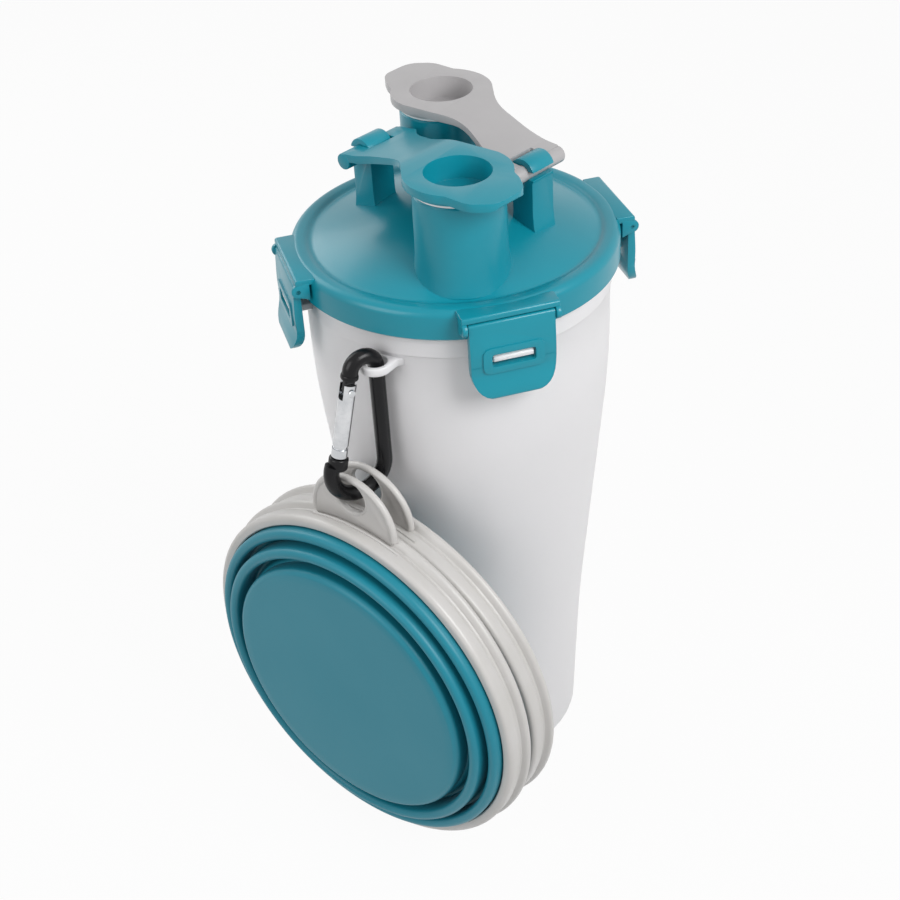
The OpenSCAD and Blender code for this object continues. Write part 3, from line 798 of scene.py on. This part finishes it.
@dataclass
class Caps:
    """The two flip caps, drawn with the spout's axis at the origin and the arm towards -X."""

    disc_r: float = 16.3
    top_z: float = 238.7
    plate_t: float = 2.6
    thick: float = 4.1
    ring_r: float = 14.7
    dish_r: float = 10.1
    dish_depth: float = 7.4
    plug_r: float = 11.1
    arm: float = 46.6
    bar_r: float = 2.6
    bar_len: float = 25
    bar_y: float = 10.3
    arm_t: float = 2.9
    window: float = 5.15
    lip_x: float = 23

    def plan(self) -> list[Point2]:
        """The outline from above: thumb lip, disc, waist and the arm that widens to its bar."""
        far, low, high = -self.arm, self.bar_y - self.bar_len / 2, self.bar_y + self.bar_len / 2
        lip = [(8, -14.2, 0), (16.5, -14, 2.5), (self.lip_x, -9, 3.5), (self.lip_x, 3, 3.5), (16.5, 7.8, 1.5)]
        arm = [(-14, 14.6, 4), (-22, 13, 4), (-34, 17.5, 4), (-39, high, 2), (far, high, 0.8),
               (far, low, 0.8), (-36, -1.4, 4), (-20, -3.5, 5)]
        crown = [(x, y, 0) for x, y in arc((0, 0), self.disc_r, 34, 86, 8)]
        heel = [(x, y, 0) for x, y in arc((0, 0), self.disc_r, -138, -68, 10)]
        return rounded([*lip, *crown, *arm, *heel])

    def section(self) -> list[Point2]:
        """The outline from the side: flat disc, and the arm that slopes down to its bar."""
        under, arm_top = self.top_z - self.plate_t, CAP_HINGE_Z + self.bar_r
        return rounded([
            (self.lip_x + 1, self.top_z, 0), (-16.5, self.top_z, 3), (-self.arm + 5, arm_top + 0.6, 2),
            (-self.arm - 1, arm_top, 0), (-self.arm - 1, CAP_HINGE_Z, 0),
            (-self.arm + 6.6, arm_top - self.arm_t + 1.2, 1.5), (-19, under, 3),
            (self.lip_x - 1.2, under, 0.8), (self.lip_x + 1, under + 2.2, 0),
        ])

    def cap(self) -> Piece:
        """One cap: a thin plate over a ring, with its dish, plug, window and bar."""
        plate = prism("cap", self.plan(), CAP_HINGE_Z - 6, self.top_z + 4)
        combine(plate, front_prism("side", self.section(), -40, 40), Boolean.KEEP)
        under = self.top_z - self.plate_t
        for name, radius, low, sunk, edge in (
            ("plug", self.plug_r, self.top_z - self.dish_depth - 2, 0.5, 0.4),
            ("ring", self.ring_r, self.top_z - self.thick, 0.7, 0.3),
        ):
            combine(plate, soften(rod(name, radius, low, under + sunk, NARROW), edge), Boolean.ADD)
        dish = rod("dish", self.dish_r, self.top_z - self.dish_depth, self.top_z + 2, NARROW)
        combine(plate, dish, Boolean.CUT)
        half = POST_W / 2 + 0.5
        window = block(
            "window", (-self.arm - 1, self.bar_y - half, CAP_HINGE_Z - 8),
            (-self.arm + self.window, self.bar_y + half, self.top_z + 2),
        )
        combine(plate, window, Boolean.CUT)
        soften(plate, 0.75, 3, 38)
        across = Matrix.Translation((-self.arm, self.bar_y, CAP_HINGE_Z)) @ QUARTER_X
        bar = turned(soften(rod("bar", self.bar_r, -self.bar_len / 2, self.bar_len / 2), 0.4), across)
        return welded("flip_cap", [plate, bar])

    def build(self, finishes: Finishes) -> None:
        """Makes one cap and copies it to the other spout, in the other colour."""
        first = self.cap()
        for name, half_turn, material, slot in (
            ("water", 0, finishes.lid, "lid_green"), ("food", 180, finishes.cap, "grey_cap"),
        ):
            place = at_bearing(CAP_TURN + half_turn) @ Matrix.Translation((*SPOUT, 0))
            cap = named(copied(first, place), f"{name}_cap_look")
            finish_piece(cap, material, f"{name}_cap")
            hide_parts(f"{name}_cap")
            dress_node(f"{name}_cap_seal", finishes.seal)
        bpy.data.objects.remove(first)


@dataclass
class Carabiner:
    """The black rod, its sprung gate and their rivet. X runs outward from the spine, Z is up."""

    turn: float = -19.7
    rod_r: float = 2.5
    top_bend: float = 4.4
    low_bend: float = 9.4
    low_z: float = 151.2
    lean: float = 13.5
    rivet_z: float = 180
    gate_len: float = 22.6
    gate_top: float = 2.2
    gate_slot: float = 2.6
    slot_z: float = 2.8
    shoulder_gap: float = 3.7
    tongue_w: float = 3.4
    tongue_t: float = 2
    nose_r: float = 3.1
    nose_len: float = 4.2
    nose_gap: float = 0.4
    nose_arc: float = 25
    rivet_r: float = 0.8
    rivet_len: float = 3.2

    def plane(self) -> Matrix:
        """From the carabiner's own plane to the frame."""
        eyelet = Matrix.Translation((0, -EYELET_R, 0))
        return at_bearing(EYELET_TURN) @ eyelet @ at_bearing(self.turn - EYELET_TURN - 90)

    def bend_end(self) -> Point2:
        """Where the upper bend runs out into the line of the gate."""
        lean = math.radians(self.lean)
        return self.top_bend * (1 + math.cos(lean)), EYELET_Z + self.top_bend * math.sin(lean)

    def gate_line(self) -> Matrix:
        """From the gate's own upright line, with the rivet at its origin, to the frame."""
        lean = math.radians(self.lean)
        start_x, start_z = self.bend_end()
        rivet_x = start_x + (start_z - self.rivet_z) * math.tan(lean)
        return self.plane() @ Matrix.Translation((rivet_x, 0, self.rivet_z)) @ Matrix.Rotation(-lean, 4, "Y")

    def route(self) -> list[Vector]:
        """The middle line of the rod, from its shoulder over the top and down to its nose."""
        lean = math.radians(self.lean)
        start_x, start_z = self.bend_end()
        down = (start_z - self.rivet_z) / math.cos(lean) - self.shoulder_gap
        flat = [
            (start_x + down * math.sin(lean), start_z - down * math.cos(lean)),
            *arc((self.top_bend, EYELET_Z), self.top_bend, self.lean, 180, 22),
            *arc((self.low_bend, self.low_z), self.low_bend, 180, 360 + self.nose_arc, 32),
        ]
        return [Vector((x, 0, z)) for x, z in flat]

    def frame_piece(self) -> Piece:
        """The bent rod with its slotted nose and the tongue that the gate turns on."""
        bent = turned(tube("rod", self.route(), self.rod_r, 8), self.plane())
        nose_top = -self.gate_len - self.nose_gap
        nose = soften(rod("nose", self.nose_r, nose_top - self.nose_len, nose_top), 0.7, 3)
        catch = block("catch", (-self.nose_r - 1, -0.7, nose_top - 2.4), (0.6, 0.7, nose_top + 1))
        combine(nose, catch, Boolean.CUT)
        gap = self.shoulder_gap
        shoulder = soften(rod("shoulder", self.rod_r + 0.25, gap, gap + 1.6), 0.4)
        half, root = self.tongue_w / 2, gap + 1
        outline = [*arc((0, 0), half, 180, 360, 12), (half, root), (-half, root)]
        tongue = front_prism("tongue", outline, -self.tongue_t / 2, self.tongue_t / 2)
        parts = [turned(part, self.gate_line()) for part in (nose, shoulder, soften(tongue, 0.2))]
        return welded("carabiner_frame_look", [bent, *parts])

    def gate_piece(self) -> Piece:
        """The gate's barrel, forked round the tongue, with a collar at its lower end."""
        barrel = rod("gate", self.rod_r, -self.gate_len, self.gate_top, 64)
        half = self.gate_slot / 2
        fork = block("fork", (-5, -half, -self.slot_z), (5, half, self.gate_top + 2))
        combine(barrel, fork, Boolean.CUT)
        deep, out = self.rod_r - 0.35, self.rod_r + 1
        groove = lathe("groove", [(deep, -0.5), (out, -0.9), (out, 0.9), (deep, 0.5)], 64)
        combine(barrel, turned(groove, Matrix.Translation((0, 0, -self.gate_len + 3.4))), Boolean.CUT)
        hole = rod("hole", self.rivet_r + 0.05, -6, 6, 24)
        combine(barrel, turned(hole, QUARTER_X), Boolean.CUT)
        return named(turned(soften(barrel, 0.3), self.gate_line()), "carabiner_gate_look")

    def rivet(self) -> Piece:
        """The rivet, with a domed head on each side."""
        head = [(0, 0), (0.7, 0.04), (1.05, 0.16), (1.2, 0.4), (self.rivet_r, 0.4)]
        top = [(r, self.rivet_len - down) for r, down in head]
        profile = top + [(r, -z) for r, z in reversed(top)]
        pin = lathe("gate_rivet_look", profile, 32)
        return turned(pin, self.gate_line() @ QUARTER_X)

    def build(self, finishes: Finishes) -> None:
        """Makes and dresses the carabiner."""
        bent = finish_piece(self.frame_piece(), finishes.rod, "carabiner", 40)
        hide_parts("carabiner_frame")
        rivet = finish_piece(self.rivet(), finishes.metal, "carabiner")
        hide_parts("gate_rivet")
        gate = finish_piece(self.gate_piece(), finishes.metal, "gate")
        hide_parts("carabiner_gate")
        dress_node("gate_spring", finishes.metal)
        dress_node("gate_plunger", finishes.metal)


@dataclass
class Bowl:
    """One folding bowl, drawn lying on its rim's open edge with the ear towards +Y."""

    name: str
    row: int
    middle: Point3 = (6.2, -62, 68.6)
    pitch: float = 9.9
    lean: float = 2.4
    soft_r: float = 59.9
    band_r: float = 63.8
    bead_r: float = 65
    rim_in_r: float = 60.3
    rim_depth: float = 9.7
    bead_w: float = 2.8
    groove_in: float = 0.8
    lip: float = 5.7
    soft_front: float = 13
    middle_front: float = 15.8
    floor_front: float = 17.1
    middle_r: float = 54.4
    ring_w: float = 3.75
    floor_r: float = 47.6
    soft_t: float = 1.2
    floor_t: float = 2
    ear_r: float = 73.7
    ear_hole_r: float = 5.9
    ear_out_r: float = 17.2
    ear_mid: float = 64.1
    ear_t: float = 2.6
    ear_planes: Point2 = (2.9, 4.7)
    border_r: float = 1.2
    eye_half: float = 1.1
    ridge_r: float = 0.45
    fold_t: float = 0.8

    def place(self) -> Matrix:
        """From the bowl's own axes to the frame; the rear one leans back from the top of its rim."""
        x, y, z = self.middle
        top = Matrix.Translation((x, y + self.row * self.pitch, z + self.bead_r))
        lean = Matrix.Rotation(math.radians(self.row * self.lean), 4, "X")
        return top @ lean @ Matrix.Translation((0, 0, -self.bead_r)) @ QUARTER_X

    def rim_ring(self) -> Piece:
        """The stiff rim: a wide band, a groove, and a slightly wider bead at the open edge."""
        groove = self.band_r - self.groove_in
        profile = [
            (self.rim_in_r, 0.5), (self.rim_in_r + 0.5, 0),
            *arc((self.bead_r - self.bead_w / 2, self.bead_w / 2), self.bead_w / 2, -90, 62, 8),
            (groove + 0.2, self.bead_w + 0.5), (groove, self.bead_w + 1), (groove + 0.1, self.bead_w + 1.5),
            (self.band_r - 0.2, self.bead_w + 2), (self.band_r, self.bead_w + 2.6),
            *arc((self.band_r - 1.6, self.rim_depth - 1.6), 1.6, 0, 90, 6),
            (self.rim_in_r + 0.4, self.rim_depth), (self.rim_in_r, self.rim_depth - 0.4),
            *[(self.rim_in_r - out, self.lip - down) for out, down in (
                (0, 0), (2, 0), (2.2, 0.3), (2.2, 1), (2, 1.2), (0, 1.2))],
        ]
        return lathe("rim", profile, BROAD)

    def ear(self) -> Piece:
        """The half-round ear with its hole, and the ridge along its root."""
        plane = self.ear_planes[self.row]
        low, top = plane - self.ear_t / 2 + 0.4, plane + self.ear_t / 2 - 0.4
        plate = prism("ear", arc((0, self.ear_mid), self.ear_out_r - self.border_r, -12, 192, 32), low, top)
        for radius, centre_y in ((self.band_r - 1, 0.0), (self.ear_hole_r, self.ear_r)):
            cutter = rod("cut", radius, low - 2, top + 2, 128)
            combine(plate, turned(cutter, Matrix.Translation((0, centre_y, 0))), Boolean.CUT)
        soften(plate, 0.3)
        line = arc((0, self.ear_mid), self.ear_out_r - self.border_r, -5, 185, 40)
        border = tube("border", [Vector((x, y, plane)) for x, y in line], self.border_r)
        eye_r, eye_t = self.ear_hole_r + 0.6, 0.6
        eye = [(eye_r + eye_t * x, plane + self.eye_half * y) for x, y in arc((0, 0), 1, 0, 330, 11)]
        bush = turned(lathe("eye", eye, 64), Matrix.Translation((0, self.ear_r, 0)))
        root = arc((0, 0), self.band_r + 0.1, 72, 104, 24)
        ridge_z = plane + self.ear_t / 2 + 1.3
        ridge = tube("ridge", [Vector((x, y, ridge_z)) for x, y in root], self.ridge_r)
        return welded("ear", [plate, border, bush, ridge])

    def crest(self, out_r: float, low: float, top: float) -> list[Point2]:
        """Closed section of a soft ring: two walls under a round crest, open below."""
        in_r, half = out_r - self.ring_w, self.ring_w / 2
        centre = (out_r - half, top - half)
        return [
            (out_r - 0.15, low), (out_r, low + 0.4), (out_r, top - half - 1), *arc(centre, half, 0, 180, 12),
            (in_r, top - half - 1), (in_r, low + 0.4), (in_r + 0.15, low), (in_r + self.soft_t, low),
            *arc(centre, half - self.soft_t, 180, 0, 6), (out_r - self.soft_t, low),
        ]

    def floor(self) -> list[Point2]:
        """Closed section of the bowl's floor: a thick disc with a rounded edge over a short wall."""
        wall_in, low = self.floor_r - self.soft_t - 0.6, self.lip + 5.1
        edge, top = 2.2, self.floor_front
        return [
            (0, top - self.floor_t), (wall_in - 1.4, top - self.floor_t), (wall_in, top - self.floor_t - 1.2),
            (wall_in, low + 0.3), (wall_in + 0.3, low), (self.floor_r - 0.2, low), (self.floor_r, low + 0.4),
            *arc((self.floor_r - edge, top - edge), edge, 0, 82, 8),
            (self.floor_r - 5, top - 0.02), (self.floor_r - 8, top - 0.12), (0, top - 0.12),
        ]

    def membrane(self, name: str, line: list[Point2]) -> Piece:
        """A thin soft wall that bends between two rings, from the line of its outer face."""
        sheet = lathe(name, line, BROAD, closed=False)
        return modify(sheet, "SOLIDIFY", thickness=self.fold_t, offset=0)

    def bend(self, piece: Piece) -> None:
        """Puts a membrane's placement into its mesh; the membrane stays as it was modelled."""
        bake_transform(piece)

    def build(self, finishes: Finishes) -> None:
        """Makes and dresses the bowl's rim, rings, floor and the two membranes between them."""
        base = f"{self.name}_bowl"
        rim = turned(welded(f"{base}_rim_look", [self.rim_ring(), self.ear()]), self.place())
        finish_piece(rim, finishes.rim, base)
        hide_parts(f"{base}_rim")
        rings = (
            ("outer_ring", self.crest(self.soft_r, self.lip, self.soft_front), base),
            ("middle_ring", self.crest(self.middle_r, self.lip + 2, self.middle_front), f"{base}_middle"),
            ("floor", self.floor(), f"{base}_floor"),
        )
        for ring, section, body in rings:
            piece = turned(lathe(f"{base}_{ring}_look", section, BROAD), self.place())
            finish_piece(piece, finishes.bowl, body)
            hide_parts(f"{base}_{ring}")
        out_in, mid_in = self.soft_r - self.ring_w, self.middle_r - self.ring_w
        outer = [(out_in + 0.7, 1.8), (out_in + 0.6, 0.9), (out_in, 0.45),
                 (self.middle_r, 0.5), (self.middle_r - 0.5, 1.1), (self.middle_r - 0.6, 2.6)]
        inner = [(mid_in + 0.6, 2.6), (mid_in + 0.5, 1.6), (mid_in - 0.2, 1.15),
                 (self.floor_r + 1.6, 1.1), (self.floor_r + 0.9, 1.6), (self.floor_r + 0.8, 4),
                 (self.floor_r + 0.3, 4.9), (self.floor_r - 0.8, 5.3)]
        folds = (
            ("outer_fold", outer, base, f"{base}_middle", 0.5, 1.9),
            ("inner_fold", inner, f"{base}_middle", f"{base}_floor", 1.2, 4.9),
        )
        for fold, points, fixed, moving, start, end in folds:
            line = [(radius, self.lip + above) for radius, above in points]
            piece = turned(self.membrane(f"{base}_{fold}_look", line), self.place())
            finish_piece(piece, finishes.bowl, smooth=60)
            self.bend(piece)
            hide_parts(f"{base}_{fold}")


# The photograph's view and light


@dataclass
class Studio:
    """The camera at the photograph's angle, a pale floor and soft lamps."""

    camera_at: Point3 = (277.57, -336.49, 436.06)
    right: Point3 = (0.78555, 0.61663, -0.05193)
    up: Point3 = (-0.33093, 0.48952, 0.80675)
    forward: Point3 = (-0.52289, 0.61655, -0.58861)
    lens: float = 62.13
    sensor: float = 36
    clip: Point2 = (0.02, 20)
    lamp_target: Point3 = (0, -10, 130)
    sky_strength: float = 0.32
    floor_size: float = 8
    floor_drop: float = 0.0003
    floor_white: float = 0.95

    def camera(self) -> None:
        """Places the camera where the photograph was taken from."""
        deselect()
        bpy.ops.object.camera_add()
        camera = bpy.context.object
        columns = [Vector(self.right), Vector(self.up), -Vector(self.forward)]
        turn = Matrix([[c[i] for c in columns] for i in range(3)]).to_4x4()
        camera.matrix_world = Matrix.Translation(Vector(self.camera_at) * MM) @ turn
        camera.data.lens, camera.data.sensor_width = self.lens, self.sensor
        camera.data.clip_start, camera.data.clip_end = self.clip
        bpy.context.scene.camera = camera

    def lamp(self, name: str, place: Point3, size: float, watts: float) -> None:
        """Hangs one square soft lamp that faces the object."""
        deselect()
        bpy.ops.object.light_add(type="AREA", location=Vector(place) * MM)
        lamp = bpy.context.object
        lamp.name = name
        aim = Vector(self.lamp_target) - Vector(place)
        lamp.rotation_euler = aim.to_track_quat("-Z", "Y").to_euler()
        lamp.data.size, lamp.data.energy = size * MM, watts

    def white_for_eye(self, tree: Tree, dim: Socket, white: Socket, share: float) -> Socket:
        """Mixes towards a white shader where the camera, a reflection or glass looks at it.

        Args:
            tree: The node tree of the floor or the world.
            dim: The shader that lights the object.
            white: The shader that is seen.
            share: How much of the white one is seen, from 0 to 1.

        Returns:
            The mixed shader's socket.
        """
        path = add_node(tree, "ShaderNodeLightPath")
        eye = path.outputs["Is Camera Ray"]
        for other in ("Is Glossy Ray", "Is Transmission Ray"):
            eye = self.either(tree, eye, path.outputs[other])
        part = add_node(tree, "ShaderNodeMath", operation="MULTIPLY")
        tree.links.new(eye, part.inputs[0])
        part.inputs[1].default_value = share
        mix = add_node(tree, "ShaderNodeMixShader", links={"Fac": part.outputs[0]})
        tree.links.new(dim, mix.inputs[1])
        tree.links.new(white, mix.inputs[2])
        return mix.outputs[0]

    def either(self, tree: Tree, first: Socket, second: Socket) -> Socket:
        """The larger of two values."""
        larger = add_node(tree, "ShaderNodeMath", operation="MAXIMUM")
        tree.links.new(first, larger.inputs[0])
        tree.links.new(second, larger.inputs[1])
        return larger.outputs[0]

    def world(self) -> None:
        """A pale even sky that looks white."""
        world = bpy.data.worlds.new("studio")
        bpy.context.scene.world = world
        tree = fresh_tree(world)
        colour = linear("#FFFFFF")
        dim, white = (
            add_node(tree, "ShaderNodeBackground", {"Color": colour, "Strength": strength}).outputs[0]
            for strength in (self.sky_strength, 1.0)
        )
        shown = self.white_for_eye(tree, dim, white, 1.0)
        add_node(tree, "ShaderNodeOutputWorld", links={"Surface": shown})

    def floor(self) -> None:
        """A wide matt white floor that keeps a soft shadow."""
        deselect()
        bpy.ops.mesh.primitive_plane_add(size=self.floor_size, location=(0, 0, -self.floor_drop))
        floor = named(bpy.context.object, "floor")
        material = bpy.data.materials.new("floor_matt_white")
        tree = fresh_tree(material)
        matt = add_node(tree, "ShaderNodeBsdfDiffuse", {"Color": linear("#C4C4C4")})
        white = add_node(tree, "ShaderNodeEmission", {"Strength": 1.0})
        shown = self.white_for_eye(tree, matt.outputs[0], white.outputs[0], self.floor_white)
        add_node(tree, "ShaderNodeOutputMaterial", links={"Surface": shown})
        floor.data.materials.append(material)

    def build(self) -> None:
        """Sets up the view, the light and the floor."""
        self.camera()
        self.world()
        self.floor()
        self.lamp("key", (640, -40, 640), 420, 5.4)
        self.lamp("front", (-160, -760, 520), 500, 2.4)
        self.lamp("left", (-700, 60, 560), 500, 2.2)
        bpy.context.scene.view_settings.view_transform = "Standard"


def main() -> None:
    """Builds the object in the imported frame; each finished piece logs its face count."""
    logging.basicConfig(level=logging.INFO, format="%(message)s")
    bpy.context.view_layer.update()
    Studio().build()
    finishes = Finishes()
    Bottle().build(finishes)
    Lid().build(finishes)
    SnapTabs().build(finishes)
    Caps().build(finishes)
    Carabiner().build(finishes)
    Bowl("front", 0).build(finishes)
    Bowl("rear", 1).build(finishes)


if __name__ == "__main__":
    main()
